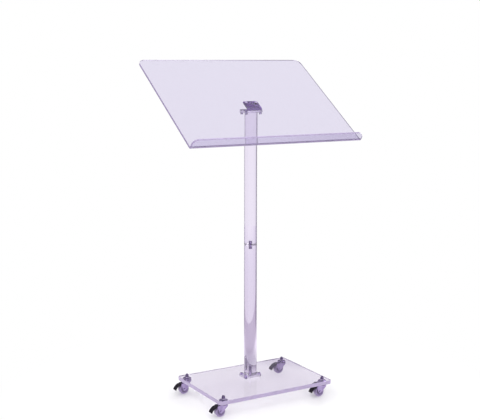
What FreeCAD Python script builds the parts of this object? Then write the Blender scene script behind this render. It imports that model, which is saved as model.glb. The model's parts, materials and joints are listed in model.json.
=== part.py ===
import FreeCAD, Part
import math
import os
import re

import Sketcher
from FreeCAD import Placement, Rotation, Vector

os.makedirs("parts", exist_ok=True)
doc = FreeCAD.newDocument("lectern")

# A free-standing lectern: a bent acrylic reading panel on a two-piece acrylic rod,
# standing on an acrylic plate with four braked swivel casters.
# Frame: millimetres, +Z up, origin on the floor under the rod's axis, the reader at -Y.

DIMENSIONS = {
    # base plate
    "base_length": 500, "base_width": 350, "base_thick": 15, "base_corner": 12,
    "base_shift": -30, "edge_break": 1.2,
    # rod
    "post_radius": 25, "post_joint": 595, "post_top": 1103, "post_chamfer": 0.8,
    "stud_radius": 5, "stud_length": 32,
    # flanges at both ends of the rod
    "flange_length": 76, "flange_width": 52, "flange_corner": 8,
    "head_thick": 8, "foot_thick": 8,
    "bolt_across": 31, "bolt_along": 17, "bolt_radius": 3, "bolt_clear": 3.2,
    "screw_head": 5, "screw_head_tall": 6, "screw_socket": 2.5, "washer_radius": 6.2,
    "washer_thick": 1.2, "foot_screw_long": 20,
    "foot_bolt_radius": 5, "foot_bolt_head": 8, "foot_bolt_tall": 9, "foot_bolt_long": 50,
    "foot_bolt_flats": 8,
    # bracket under the panel
    "bracket_thick": 3.5, "bracket_depth": 48, "bracket_corner": 6, "bend_inner": 2,
    "bend_back": 21, "wing_width": 64, "wing_reach": 13, "wing_corner": 8,
    # reading panel
    "panel_width": 732, "panel_length": 530, "panel_thick": 8, "panel_tilt": 35,
    "panel_corner": 28, "lip_height": 42, "lip_corner": 24, "lip_bend_inner": 5,
    "panel_screw_across": 22, "panel_screw_up": 3, "flat_head": 5.9, "flush_drop": 0.1,
    "flat_socket_flats": 4, "flat_socket_deep": 1.8, "nut_flats": 10, "nut_tall": 5,
    "thread_past_nut": 2,
    # casters: height under the plate, wheel, hub and axle
    "caster_height": 50, "caster_inset": 28, "wheel_radius": 20, "wheel_wide": 18,
    "wheel_shoulder": 3, "tyre_inner": 14, "trail": 16, "axle_radius": 2.5,
    "axle_head": 4.4, "axle_head_tall": 2.6, "axle_nut_corner": 4.6, "axle_nut_tall": 3.6,
    "axle_past_nut": 0.8, "running_gap": 0.05, "hub_wide": 19, "hub_boss": 4.6,
    "hub_rim": 2.2, "hub_step": 1, "hub_dish": 2.5,
    # casters: fork, swivel and stem
    "fork_sheet": 2, "fork_inside": 19.6, "crown_radius": 17, "fork_front": 13,
    "fork_ear": 3.6, "fork_boss": 7, "fork_shoulder": 4, "bridge_back": 22,
    "cup_thick": 3.6, "ball_gap": 2.4, "ball_radius": 1.0, "ball_circle": 11,
    "stem_radius": 4, "stem_rise": 10, "kingpin_head": 7, "kingpin_tall": 1.8,
    "swivel_play": 0.3,
    "cap_nut_flats": 13, "cap_nut_hex": 6, "cap_nut_tall": 12,
    "big_washer": 9, "big_washer_thick": 1.6,
    # casters: brake lever and its pin
    "pin_back": 27, "pin_height": 41, "pin_radius": 1.5, "rivet_head": 2.6,
    "rivet_head_tall": 1, "barrel_radius": 3, "lever_wide": 18.4, "lever_sheet": 2.4,
    "pedal_wide": 24, "pedal_back": 27, "pedal_drop": 22, "pedal_bow": 4.8,
    "pedal_start": 8, "shoe_wide": 12,
}

sheet = doc.addObject("Spreadsheet::Sheet", "dims")
for row, (alias, size) in enumerate(DIMENSIONS.items(), start=1):
    sheet.set(f"A{row}", alias)
    sheet.set(f"B{row}", str(size))
    sheet.setAlias(f"B{row}", alias)
doc.recompute()

ALIAS = re.compile(r"\b(" + "|".join(DIMENSIONS) + r")\b")
SUB_PARTS = []


def formula(text):
    """The text with every dimension's name pointing at its cell."""
    return ALIAS.sub(r"dims.\1", str(text))


def number(text):
    """The value in millimetres of a formula in the sheet's names."""
    return float(sheet.evalExpression(formula(text)))


def bind(thing, **formulas):
    """Ties properties of an object to the sheet."""
    for name, text in formulas.items():
        thing.setExpression(name, formula(text))
    return thing


def place(thing, x="0", y="0", z="0"):
    """Ties an object's position to the sheet."""
    for axis, text in zip("xyz", (x, y, z)):
        thing.setExpression(f"Placement.Base.{axis}", formula(text))
    return thing


def sub_part(thing, label):
    """Registers a finished piece under the name that its file gets."""
    thing.Label = label
    SUB_PARTS.append(thing)
    return thing


# ---------------------------------------------------------------- PartDesign helpers

def new_body(label):
    return sub_part(doc.addObject("PartDesign::Body", label), label)


def sketch_on(body, name, plane):
    sketch = body.newObject("Sketcher::SketchObject", name)
    support = [f for f in body.Origin.OriginFeatures if f.Role == plane][0]
    sketch.AttachmentSupport = (support, [""])
    sketch.MapMode = "FlatFace"
    return sketch


def hold_point(sketch, geometry, vertex, x, y):
    """Fixes a point of the sketch at a place given by two formulas."""
    for kind, text in (("DistanceX", x), ("DistanceY", y)):
        index = sketch.addConstraint(
            Sketcher.Constraint(kind, -1, 1, geometry, vertex, number(text)))
        sketch.setExpression(f"Constraints[{index}]", formula(text))


def outline(body, name, plane, corners):
    """A closed outline of straight sides through corners given as formulas."""
    sketch = sketch_on(body, name, plane)
    points = [Vector(number(x), number(y), 0) for x, y in corners]
    count = len(points)
    for i, point in enumerate(points):
        sketch.addGeometry(Part.LineSegment(point, points[(i + 1) % count]), False)
    for i in range(count):
        sketch.addConstraint(Sketcher.Constraint("Coincident", i, 2, (i + 1) % count, 1))
    for i, (x, y) in enumerate(corners):
        hold_point(sketch, i, 1, x, y)
    return sketch


def rectangle(body, name, length, width):
    """A rectangle in the XY plane, centred on the body's origin."""
    half_x, half_y = f"({length}) / 2", f"({width}) / 2"
    corners = [(f"-{half_x}", f"-{half_y}"), (half_x, f"-{half_y}"),
               (half_x, half_y), (f"-{half_x}", half_y)]
    return outline(body, name, "XY_Plane", corners)


def circles(body, name, plane, radius, centres):
    """Equal circles at centres given as formulas."""
    sketch = sketch_on(body, name, plane)
    for x, y in centres:
        centre = Vector(number(x), number(y), 0)
        index = sketch.addGeometry(Part.Circle(centre, Vector(0, 0, 1), number(radius)), False)
        size = sketch.addConstraint(Sketcher.Constraint("Radius", index, number(radius)))
        sketch.setExpression(f"Constraints[{size}]", formula(radius))
        hold_point(sketch, index, 3, x, y)
    return sketch


def pad(body, sketch, length, both_ways=False):
    feature = body.newObject("PartDesign::Pad", sketch.Name + "_pad")
    feature.Profile = sketch
    feature.Midplane = both_ways
    bind(feature, Length=length)
    doc.recompute()
    return feature


def pocket(body, sketch, depth, upward=True):
    """Cuts the sketch's outline out of the body, upward from the sketch's plane."""
    before = body.Shape.Volume
    feature = body.newObject("PartDesign::Pocket", sketch.Name + "_pocket")
    feature.Profile = sketch
    feature.Reversed = upward
    bind(feature, Length=depth)
    doc.recompute()
    assert body.Shape.Volume < before - 1, f"{sketch.Name} cuts nothing"
    return feature


def revolve(body, sketch):
    """Turns an XZ outline round the body's Z axis."""
    feature = body.newObject("PartDesign::Revolution", sketch.Name + "_turn")
    feature.Profile = sketch
    feature.ReferenceAxis = (sketch, ["V_Axis"])
    feature.Angle = 360
    doc.recompute()
    return feature


def dress(body, kind, size, chosen):
    """A Fillet or Chamfer on the edges of the body's tip that pass the test."""
    base = body.Tip
    names = [f"Edge{i}" for i, edge in enumerate(base.Shape.Edges, start=1) if chosen(edge)]
    assert names, f"{body.Label} has no edge to dress"
    feature = body.newObject("PartDesign::" + kind, f"{body.Name}_{kind}_{len(body.Group)}")
    feature.Base = (base, names)
    bind(feature, **{"Radius" if kind == "Fillet" else "Size": size})
    doc.recompute()
    return feature


def along(edge, direction):
    """True for a straight edge parallel to the direction."""
    if not isinstance(edge.Curve, Part.Line):
        return False
    return abs(edge.Curve.Direction.dot(direction)) > 0.999


def near(value, target):
    return abs(value - target) < 0.01


X, Y, Z = Vector(1, 0, 0), Vector(0, 1, 0), Vector(0, 0, 1)
SIGNS = [(-1, -1), (-1, 1), (1, -1), (1, 1)]
BOLTS = [(f"{i} * bolt_across", f"{j} * bolt_along") for i, j in SIGNS]
PANEL_SCREWS = [(f"{i} * panel_screw_across", "panel_screw_up") for i in (-1, 1)]
CASTERS = {"near_left": (-1, -1), "far_left": (-1, 1), "near_right": (1, -1), "far_right": (1, 1)}


def stem_place(name):
    """Where a caster's stem stands, as formulas."""
    i, j = CASTERS[name]
    return (f"{i} * (base_length / 2 - caster_inset)",
            f"base_shift + {j} * (base_width / 2 - caster_inset)")


# ---------------------------------------------------------------- turned pieces

def turned(label, steps, z="0"):
    """One solid of revolution. steps: (radius, height) corners from the axis and back to it."""
    body = new_body(label)
    sketch = outline(body, label + "_profile", "XZ_Plane", steps)
    revolve(body, sketch)
    place(body, z=z)
    return body


def group(label, shapes):
    """Equal loose pieces that share one node."""
    thing = doc.addObject("Part::Compound", label)
    thing.Links = shapes
    return sub_part(thing, label)


def cylinder(name, radius, height, x="0", y="0", z="0"):
    thing = doc.addObject("Part::Cylinder", name)
    bind(thing, Radius=radius, Height=height)
    return place(thing, x, y, z)


def hexagon(name, flats, height, x="0", y="0", z="0"):
    thing = doc.addObject("Part::Prism", name)
    thing.Polygon = 6
    bind(thing, Circumradius=f"({flats}) / sqrt(3)", Height=height)
    return place(thing, x, y, z)


def joined(name, *pieces):
    thing = doc.addObject("Part::MultiFuse", name)
    thing.Shapes = list(pieces)
    return thing


def cut(name, base, tool):
    thing = doc.addObject("Part::Cut", name)
    thing.Base, thing.Tool = base, tool
    return thing


def ring(name, outer, inner, height, x="0", y="0", z="0"):
    """A flat washer."""
    return cut(name, cylinder(name + "_disc", outer, height, x, y, z),
               cylinder(name + "_hole", inner, height, x, y, z))


# ---------------------------------------------------------------- rod and its stud

BASE_TOP = "(caster_height + base_thick)"
POST_FOOT = f"({BASE_TOP} + foot_thick)"


def rod(label, bottom, length, bottom_bore, bottom_depth, top_bore, top_depth):
    """A length of clear rod with a blind hole in each end that has a depth."""
    edge, radius = "post_chamfer", "post_radius"
    steps = [("0", bottom_depth), (bottom_bore, bottom_depth), (bottom_bore, "0")]
    if bottom_depth == "0":
        steps = [("0", "0")]
    steps += [(f"{radius} - {edge}", "0"), (radius, edge),
              (radius, f"{length} - {edge}"), (f"{radius} - {edge}", length)]
    if top_depth == "0":
        steps += [("0", length)]
    else:
        steps += [(top_bore, length), (top_bore, f"{length} - {top_depth}"),
                  ("0", f"{length} - {top_depth}")]
    return turned(label, steps, z=bottom)


def make_post():
    half_stud = "(stud_length / 2)"
    bolt_in = f"(foot_bolt_long - {BASE_TOP} - foot_thick + caster_height + foot_bolt_tall)"
    rod("lower_post", POST_FOOT, f"(post_joint - {POST_FOOT})",
        "foot_bolt_radius", bolt_in, "stud_radius", half_stud)
    rod("upper_post", "post_joint", "(post_top - post_joint)",
        "stud_radius", half_stud, "0", "0")
    stud = cylinder("joint_stud", "stud_radius", "stud_length",
                    z=f"post_joint - {half_stud}")
    sub_part(stud, "joint_stud")


# ---------------------------------------------------------------- flanges and screws

def flange(label, thickness, z, centre_hole=None):
    """A rounded acrylic pad with four screw holes, at one end of the rod."""
    body = new_body(label)
    pad(body, rectangle(body, label + "_outline", "flange_length", "flange_width"), thickness)
    dress(body, "Fillet", "flange_corner", lambda e: along(e, Z))
    pocket(body, circles(body, label + "_holes", "XY_Plane", "bolt_clear", BOLTS), thickness)
    if centre_hole:
        pocket(body, circles(body, label + "_bore", "XY_Plane", centre_hole, [("0", "0")]),
               thickness)
    place(body, z=z)
    return body


def socket_screw(name, head_up, length, x, y, z):
    """A socket-head cap screw whose head rests on height z and whose shank runs away from it."""
    head_z = z if head_up else f"{z} - screw_head_tall"
    shank_z = f"{z} - {length}" if head_up else z
    socket_z = f"{head_z} + screw_head_tall / 2" if head_up else head_z
    blank = joined(name + "_blank",
                   cylinder(name + "_head", "screw_head", "screw_head_tall", x, y, head_z),
                   cylinder(name + "_shank", "bolt_radius", length, x, y, shank_z))
    socket = hexagon(name + "_socket", "2 * screw_socket", "screw_head_tall / 2", x, y, socket_z)
    return cut(name, blank, socket)


def make_head():
    """Flange, bracket screws and washers at the top of the rod."""
    flange("head_flange", "head_thick", "post_top")
    screws, washers = [], []
    for i, (x, y) in enumerate(BOLTS):
        washers.append(ring(f"head_washer_{i}", "washer_radius", "bolt_radius + 0.2",
                            "washer_thick", x, y, "post_top - washer_thick"))
        screws.append(socket_screw(f"head_screw_{i}", False,
                                   "(washer_thick + head_thick + bracket_thick)",
                                   x, y, "(post_top - washer_thick)"))
    group("head_screws", screws)
    group("head_washers", washers)


def make_foot():
    """Flange, four screws into the base plate and the centre bolt from below."""
    flange("foot_flange", "foot_thick", BASE_TOP, centre_hole="foot_bolt_radius")
    screws = [socket_screw(f"foot_screw_{i}", True, "foot_screw_long", x, y, POST_FOOT)
              for i, (x, y) in enumerate(BOLTS)]
    group("foot_screws", screws)
    head_z = "caster_height"
    bolt = joined("foot_bolt_blank",
                  cylinder("foot_bolt_head", "foot_bolt_head", "foot_bolt_tall", z=head_z),
                  cylinder("foot_bolt_shank", "foot_bolt_radius", "foot_bolt_long",
                           z=f"{head_z} + foot_bolt_tall"))
    socket = hexagon("foot_bolt_socket", "foot_bolt_flats", "foot_bolt_tall / 2", z=head_z)
    sub_part(cut("foot_bolt", bolt, socket), "foot_bolt")


# ---------------------------------------------------------------- base plate

def make_base_plate():
    body = new_body("base_plate")
    pad(body, rectangle(body, "base_outline", "base_length", "base_width"), "base_thick")
    dress(body, "Fillet", "base_corner", lambda e: along(e, Z))
    thick = number("base_thick")
    dress(body, "Chamfer", "edge_break", lambda e: near(e.BoundBox.ZLength, 0)
          and (near(e.BoundBox.ZMin, 0) or near(e.BoundBox.ZMin, thick)))
    stems = [(f"{i} * (base_length / 2 - caster_inset)", f"{j} * (base_width / 2 - caster_inset)")
             for i, j in SIGNS]
    pocket(body, circles(body, "stem_holes", "XY_Plane", "stem_radius", stems), "base_thick")
    centre = [("0", "-base_shift")]
    pocket(body, circles(body, "bolt_hole", "XY_Plane", "foot_bolt_radius", centre), "base_thick")
    pocket(body, circles(body, "bolt_counterbore", "XY_Plane", "foot_bolt_head", centre),
           "foot_bolt_tall")
    screws = [(x, f"{y} - base_shift") for x, y in BOLTS]
    holes = circles(body, "screw_holes", "XY_Plane", "bolt_radius", screws)
    holes.setExpression("AttachmentOffset.Base.z",
                        formula("base_thick + foot_thick - foot_screw_long"))
    pocket(body, holes, "base_thick")
    place(body, y="base_shift", z="caster_height")


# ---------------------------------------------------------------- bracket and panel

BRACKET_Z = "(post_top + head_thick)"
TAN, COS = "tan(panel_tilt * 1deg)", "cos(panel_tilt * 1deg)"
SIN = "sin(panel_tilt * 1deg)"
# Height of the wing's upper face, which carries the panel, above the bracket's underside,
# measured on the rod's axis.
SEAT = (f"(bracket_thick + bend_inner + bend_back * {TAN}"
        f" + (bend_inner + bracket_thick) / {COS})")


def make_bracket():
    """A plate on the flange with a wing bent back over it, up to the panel's slope."""
    body = new_body("head_bracket")
    pad(body, rectangle(body, "bracket_plate", "flange_length", "bracket_depth"), "bracket_thick")
    dress(body, "Fillet", "bracket_corner", lambda e: along(e, Z))
    # Side view of plate, bend and wing: the bend's axis lies bend_back in front of the rod's.
    side_view = sketch_on(body, "bracket_wing", "YZ_Plane")
    tilt = math.radians(number("panel_tilt"))
    inner, outer = number("bend_inner"), number("bend_inner + bracket_thick")
    slope = Vector(math.cos(tilt), math.sin(tilt), 0)
    normal = Vector(-math.sin(tilt), math.cos(tilt), 0)
    bend = Vector(-number("bend_back"), outer, 0)
    wing_top = Vector(0, number(SEAT), 0) + slope * number("wing_reach")
    wing_low = wing_top - normal * number("bracket_thick")
    bend_top, bend_low = bend + normal * outer, bend + normal * inner
    plate_top, plate_low = bend - Vector(0, inner, 0), bend - Vector(0, outer, 0)
    back_top, back_low = Vector(0, number("bracket_thick"), 0), Vector(0, 0, 0)
    outer_arc = Part.Arc(bend_top, bend - Vector(outer, 0, 0), plate_low)
    inner_arc = Part.Arc(plate_top, bend - Vector(inner, 0, 0), bend_low)
    for curve in (Part.LineSegment(wing_top, bend_top), outer_arc,
                  Part.LineSegment(plate_low, back_low), Part.LineSegment(back_low, back_top),
                  Part.LineSegment(back_top, plate_top), inner_arc,
                  Part.LineSegment(bend_low, wing_low), Part.LineSegment(wing_low, wing_top)):
        side_view.addGeometry(curve, False)
    pad(body, side_view, "wing_width", both_ways=True)
    dress(body, "Fillet", "wing_corner", lambda e: along(e, Vector(0, normal.x, normal.y))
          and near(e.BoundBox.ZMax, wing_top.y))
    pocket(body, circles(body, "bracket_threads", "XY_Plane", "bolt_radius", BOLTS),
           "bracket_thick")
    holes = circles(body, "wing_holes", "XY_Plane", "bolt_clear", PANEL_SCREWS)
    holes.AttachmentOffset = Placement(Vector(0, 0, number(SEAT)),
                                       Rotation(X, number("panel_tilt")))
    pocket(body, holes, "bracket_thick + 1", upward=False)
    place(body, z=BRACKET_Z)


def tilt_onto_seat(thing):
    """Lays a piece made flat, with its underside at Z = 0, onto the wing."""
    thing.Placement = Placement(Vector(), Rotation(X, number("panel_tilt")))
    thing.setExpression("Placement.Rotation.Angle", formula("panel_tilt * 1deg"))
    place(thing, z=f"{BRACKET_Z} + {SEAT}")
    return thing


def make_panel():
    """A sheet bent square along its lower edge into a ledge lip."""
    body = new_body("reading_panel")
    # The sheet is set so that its back edge and its lip stand out equally from the rod's axis.
    top = f"((panel_length + lip_height * {TAN}) / 2)"
    low = f"({top} - panel_length)"
    section = [(low, "0"), (top, "0"), (top, "panel_thick"),
               (f"{low} + panel_thick", "panel_thick"),
               (f"{low} + panel_thick", "lip_height"), (low, "lip_height")]
    pad(body, outline(body, "panel_section", "YZ_Plane", section), "panel_width", both_ways=True)
    y_low, y_top = number(low), number(top)
    thick, lip = number("panel_thick"), number("lip_height")
    dress(body, "Fillet", "lip_bend_inner", lambda e: along(e, X)
          and near(e.BoundBox.YMin, y_low + thick) and near(e.BoundBox.ZMin, thick))
    dress(body, "Fillet", "lip_bend_inner + panel_thick", lambda e: along(e, X)
          and near(e.BoundBox.YMin, y_low) and near(e.BoundBox.ZMin, 0))
    dress(body, "Fillet", "panel_corner", lambda e: along(e, Z) and near(e.BoundBox.YMin, y_top))
    dress(body, "Fillet", "lip_corner", lambda e: along(e, Y) and near(e.BoundBox.ZMin, lip))
    pocket(body, circles(body, "panel_holes", "XY_Plane", "bolt_clear", PANEL_SCREWS),
           "panel_thick")
    rim = 2 * math.pi * number("bolt_clear")
    dress(body, "Chamfer", "flat_head + flush_drop - bolt_clear",
          lambda e: near(e.Length, rim) and near(e.BoundBox.ZMin, thick))
    tilt_onto_seat(body)


def make_panel_fasteners():
    """Flat-head screws sunk flush in the panel, with washers and nuts under the wing."""
    head_tall = "(flat_head - bolt_radius)"
    head_top = "(panel_thick - flush_drop)"
    shank_end = "(bracket_thick + washer_thick + nut_tall + thread_past_nut)"
    under_wing = "(-bracket_thick - washer_thick)"
    screws, washers, nuts = [], [], []
    for i, (x, y) in enumerate(PANEL_SCREWS):
        head = doc.addObject("Part::Cone", f"flat_head_{i}")
        bind(head, Radius1="bolt_radius", Radius2="flat_head", Height=head_tall)
        place(head, x, y, f"{head_top} - {head_tall}")
        shank = cylinder(f"flat_shank_{i}", "bolt_radius", f"{head_top} - {head_tall} + {shank_end}",
                         x, y, f"-{shank_end}")
        socket = hexagon(f"flat_socket_{i}", "flat_socket_flats", "flat_socket_deep", x, y,
                         f"{head_top} - flat_socket_deep")
        screws.append(cut(f"flat_screw_{i}", joined(f"flat_blank_{i}", head, shank), socket))
        washers.append(ring(f"panel_washer_{i}", "washer_radius", "bolt_radius + 0.2",
                            "washer_thick", x, y, under_wing))
        nut_z = f"{under_wing} - nut_tall"
        nut = hexagon(f"nut_hex_{i}", "nut_flats", "nut_tall", x, y, nut_z)
        nuts.append(cut(f"panel_nut_{i}", nut,
                        cylinder(f"nut_bore_{i}", "bolt_radius", "nut_tall", x, y, nut_z)))
    for label, pieces in (("panel_screws", screws), ("panel_washers", washers),
                          ("panel_nuts", nuts)):
        tilt_onto_seat(group(label, pieces))


# ---------------------------------------------------------------- casters

CUP_Z = "(caster_height - cup_thick)"
CROWN_TOP = "(caster_height - cup_thick - ball_gap)"
CROWN_LOW = f"({CROWN_TOP} - fork_sheet)"


def cap_nut(name, x, y):
    """A domed nut on the stem's end: hexagon, collar and half ball over a blind bore."""
    low = f"({BASE_TOP} + big_washer_thick)"
    dome_radius = "(cap_nut_flats * 0.42)"
    collar_tall = f"(cap_nut_tall - cap_nut_hex - {dome_radius})"
    collar = doc.addObject("Part::Cone", name + "_collar")
    bind(collar, Radius1="cap_nut_flats / 2", Radius2=dome_radius, Height=collar_tall)
    place(collar, x, y, f"{low} + cap_nut_hex")
    dome = doc.addObject("Part::Sphere", name + "_dome")
    bind(dome, Radius=dome_radius)
    dome.Angle1 = 0
    place(dome, x, y, f"{low} + cap_nut_hex + {collar_tall}")
    blank = joined(name + "_blank", collar, dome,
                   hexagon(name + "_hex", "cap_nut_flats", "cap_nut_hex", x, y, low))
    bore = cylinder(name + "_bore", "stem_radius", "stem_rise - big_washer_thick", x, y, low)
    return cut(name, blank, bore)


def stem(name, x, y):
    """The kingpin and threaded stem, one turned piece from below the fork to the cap nut."""
    shoulder = f"({CROWN_LOW} - swivel_play)"
    return joined(name,
                  cylinder(name + "_head", "kingpin_head", "kingpin_tall", x, y,
                           f"{shoulder} - kingpin_tall"),
                  cylinder(name + "_pin", "stem_radius", f"{BASE_TOP} + stem_rise - {shoulder}",
                           x, y, shoulder))


def ball_ring(name, x, y):
    """The swivel's loose balls between cup and fork."""
    pieces, count = [], 10
    for i in range(count):
        turn = f"{360 // count * i} * 1deg"
        ball = doc.addObject("Part::Sphere", f"{name}_{i}")
        bind(ball, Radius="ball_radius")
        place(ball, f"{x} + ball_circle * cos({turn})", f"{y} + ball_circle * sin({turn})",
              f"{CROWN_TOP} + ball_gap / 2")
        pieces.append(ball)
    return pieces


def make_caster_mounts():
    nuts, washers, stems, cups, balls = [], [], [], [], []
    for name in CASTERS:
        x, y = stem_place(name)
        nuts.append(cap_nut("cap_nut_" + name, x, y))
        washers.append(ring("big_washer_" + name, "big_washer", "stem_radius",
                            "big_washer_thick", x, y, BASE_TOP))
        stems.append(stem("stem_" + name, x, y))
        cups.append(ring("cup_" + name, "crown_radius", "stem_radius", "cup_thick", x, y, CUP_Z))
        balls += ball_ring("ball_" + name, x, y)
    group("cap_nuts", nuts)
    group("stem_washers", washers)
    group("caster_stems", stems)
    group("swivel_cups", cups)
    group("swivel_balls", balls)


def face_prism(points, thickness, y):
    """A plate cut to an XZ outline; a point may be a Vector or a pair (through, end) of an arc."""
    edges, here = [], points[0]
    for step in points[1:] + points[:1]:
        if isinstance(step, tuple):
            edges.append(Part.Arc(here, step[0], step[1]).toShape())
            here = step[1]
        else:
            edges.append(Part.LineSegment(here, step).toShape())
            here = step
    plate = Part.Face(Part.Wire(edges)).extrude(Vector(0, thickness, 0))
    plate.translate(Vector(0, y, 0))
    return plate


def across(radius, half, x, z):
    """A round bar along Y, centred on the caster."""
    return Part.makeCylinder(radius, 2 * half, Vector(x, -half, z), Y)


def on_circle(centre, radius, degrees):
    """A point of a circle in the XZ plane."""
    turn = math.radians(degrees)
    return centre + Vector(radius * math.cos(turn), 0, radius * math.sin(turn))


def fork_shape():
    """Pressed crown with two legs that carry the axle and, behind it, the lever's pin."""
    boss, shoulder = number("fork_boss"), number("fork_shoulder")
    axle = Vector(-number("trail"), 0, number("wheel_radius"))
    pin = Vector(-number("pin_back"), 0, number("pin_height"))
    top, low = number(CROWN_TOP), number(CROWN_LOW)
    inside, steel = number("fork_inside") / 2, number("fork_sheet")
    back, front = pin.x - number("fork_ear"), number("fork_front")
    leg = [Vector(back, 0, top), Vector(front, 0, top), Vector(front, 0, low - shoulder),
           on_circle(axle, boss, -35), (axle - Vector(0, 0, boss), on_circle(axle, boss, 200)),
           Vector(back, 0, pin.z - shoulder)]
    bridge_back = number("bridge_back")
    crown = Part.makeCylinder(number("crown_radius"), steel, Vector(0, 0, low))
    bridge = Part.makeBox(front + bridge_back, 2 * (inside + steel), steel,
                          Vector(-bridge_back, -inside - steel, low))
    legs = [face_prism(leg, steel, inside), face_prism(leg, steel, -inside - steel)]
    shape = crown.fuse([bridge] + legs)
    through = inside + steel + 1
    king_bore = Part.makeCylinder(number("stem_radius + running_gap"), 3 * steel,
                                  Vector(0, 0, low - steel))
    holes = [across(number("axle_radius"), through, axle.x, axle.z),
             across(number("pin_radius"), through, pin.x, pin.z), king_bore]
    return shape.cut(holes).removeSplitter()


def lever_shape():
    """A pedal on a barrel round the pin, with a shoe that swings in to the tread."""
    pin = Vector(-number("pin_back"), 0, number("pin_height"))
    half, wide = number("lever_wide") / 2, number("pedal_wide") / 2
    thick, barrel = number("lever_sheet"), number("barrel_radius")
    # Side view of the pedal: two arcs from the barrel to the tip, bowed up and back.
    tip = pin - Vector(number("pedal_back"), 0, number("pedal_drop"))
    away = Vector(tip.z - pin.z, 0, pin.x - tip.x).normalize()
    under = (pin + tip) * 0.5 + away * number("pedal_bow")
    web = [pin + Vector(-0.4, 0, 0.96 * barrel), (under + away * thick, tip + away * thick),
           tip, (under, pin - Vector(0.5 * barrel, 0, 0.73 * barrel))]
    arm = face_prism(web, 2 * half, -half)
    back, start = number("pedal_back"), number("pedal_start")
    behind = Part.makeBox(back, 2 * wide, pin.z, Vector(pin.x - start - back, -wide, 0))
    pedal = face_prism(web, 2 * wide, -wide).common(behind)
    # The shoe is a wedge under the barrel that faces the tread.
    shoe = [pin + Vector(*corner) for corner in
            ((-2.4, 0, -1.6), (-5.0, 0, -6.0), (-7.4, 0, -6.6), (-8.6, 0, -1.2))]
    shoe_wide = number("shoe_wide")
    shape = arm.fuse([pedal, face_prism(shoe, shoe_wide, -shoe_wide / 2),
                      across(barrel, half, pin.x, pin.z)])
    bore = across(number("pin_radius + running_gap"), half + 1, pin.x, pin.z)
    return shape.cut(bore).removeSplitter()


def tyre_shape():
    """A ring with rounded shoulders."""
    radius, inner, wide = number("wheel_radius"), number("tyre_inner"), number("wheel_wide")
    blank = across(radius, wide / 2, 0, 0).cut(across(inner, wide / 2, 0, 0))
    rims = [e for e in blank.Edges if near(e.Length, 2 * math.pi * radius)
            and near(e.BoundBox.YLength, 0)]
    return blank.makeFillet(number("wheel_shoulder"), rims)


def hub_shape():
    """Web and boss that turn on the axle."""
    inner, half = number("tyre_inner"), number("hub_wide") / 2
    boss, dish = number("hub_boss"), number("hub_dish")
    face = number("wheel_wide") / 2 - number("hub_step")
    blank = across(inner, face, 0, 0).fuse(across(boss, half, 0, 0))
    for side in (-1, 1):
        start, out = Vector(0, side * (face - dish), 0), Vector(0, side, 0)
        hollow = Part.makeCylinder(inner - number("hub_rim"), half, start, out)
        blank = blank.cut(hollow.cut(Part.makeCylinder(boss, half, start, out)))
    bore = across(number("axle_radius + running_gap"), half + 1, 0, 0)
    return blank.cut(bore).removeSplitter()


def fork_half():
    """Half the width across the fork's legs."""
    return number("fork_inside / 2 + fork_sheet")


def axle_shape():
    """A bolt with its head on the reader's side of the fork."""
    half, head_tall = fork_half(), number("axle_head_tall")
    shank = Part.makeCylinder(number("axle_radius"),
                              2 * half + number("axle_nut_tall + axle_past_nut"),
                              Vector(0, -half, 0), Y)
    head = Part.makeCylinder(number("axle_head"), head_tall, Vector(0, -half - head_tall, 0), Y)
    return head.fuse(shank)


def axle_nut_shape():
    half, tall = fork_half(), number("axle_nut_tall")
    corners = [on_circle(Vector(0, half, 0), number("axle_nut_corner"), 60 * i) for i in range(6)]
    nut = Part.Face(Part.makePolygon(corners + corners[:1])).extrude(Vector(0, tall, 0))
    return nut.cut(Part.makeCylinder(number("axle_radius"), tall, Vector(0, half, 0), Y))


def lever_pin_shape():
    """A rivet across the fork's two ears."""
    half = fork_half()
    heads = [Part.makeCylinder(number("rivet_head"), number("rivet_head_tall"),
                               Vector(0, side * half, 0), Vector(0, side, 0))
             for side in (-1, 1)]
    return across(number("pin_radius"), half, 0, 0).fuse(heads)


def caster_piece(label, shape, name, x="0", z="0"):
    """Stands one piece of a caster at its stem."""
    thing = doc.addObject("Part::Feature", label)
    thing.Shape = shape
    stem_x, stem_y = stem_place(name)
    place(thing, f"{stem_x} + {x}", stem_y, z)
    return sub_part(thing, label)


def make_casters():
    axle = {"x": "(-trail)", "z": "wheel_radius"}
    for name in CASTERS:
        caster_piece("fork_" + name, fork_shape(), name)
        caster_piece("brake_lever_" + name, lever_shape(), name)
        caster_piece("brake_pin_" + name, lever_pin_shape(), name, x="(-pin_back)", z="pin_height")
        caster_piece("tyre_" + name, tyre_shape(), name, **axle)
        caster_piece("hub_" + name, hub_shape(), name, **axle)
        caster_piece("axle_" + name, axle_shape(), name, **axle)
        caster_piece("axle_nut_" + name, axle_nut_shape(), name, **axle)


# ---------------------------------------------------------------- assembly and export

make_base_plate()
make_foot()
make_post()
make_head()
make_bracket()
make_panel()
make_panel_fasteners()
make_caster_mounts()
make_casters()
doc.recompute()

for thing in doc.Objects:
    assert "Invalid" not in thing.State and "Error" not in thing.State, f"{thing.Label} failed"
for thing in SUB_PARTS:
    shape = thing.Shape
    assert not shape.isNull() and shape.isValid(), f"{thing.Label} has no valid shape"
for thing in SUB_PARTS:
    thing.Shape.exportStep(f"parts/{thing.Label}.step")
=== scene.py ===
import json
import math

import bmesh
import bpy
from mathutils import Matrix, Vector
from mathutils.bvhtree import BVHTree


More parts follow.
